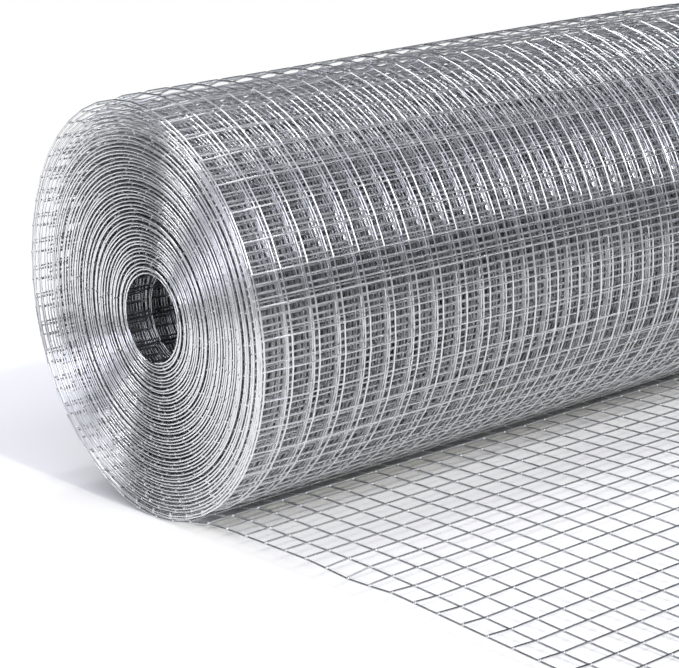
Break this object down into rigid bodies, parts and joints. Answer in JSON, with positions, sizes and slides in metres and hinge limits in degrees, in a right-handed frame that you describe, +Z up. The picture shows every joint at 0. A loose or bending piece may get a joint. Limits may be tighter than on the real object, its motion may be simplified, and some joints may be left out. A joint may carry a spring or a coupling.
{
  "type": "roll of welded wire mesh",
  "caption": "Roll of galvanised welded wire mesh lying on its side, with an open core and its loose end running out in front of it, for fencing, cages and guards.",
  "frame": {"origin": "on the floor, under the middle of the whole object's box", "axes": "+X along the roll, away from the end that shows; the loose end points to -Y; +Z up"},
  "size_m": [0.6116, 0.3802, 0.1721],
  "materials": {
    "galvanised_wire": "bright zinc coating over drawn and welded steel wire"
  },
  "bodies": {
    "root": {"mesh_roll": "galvanised_wire", "loose_end_panel_1": "galvanised_wire", "loose_end_panel_2": "galvanised_wire", "loose_end_panel_3": "galvanised_wire"}
  },
  "joints": []
}
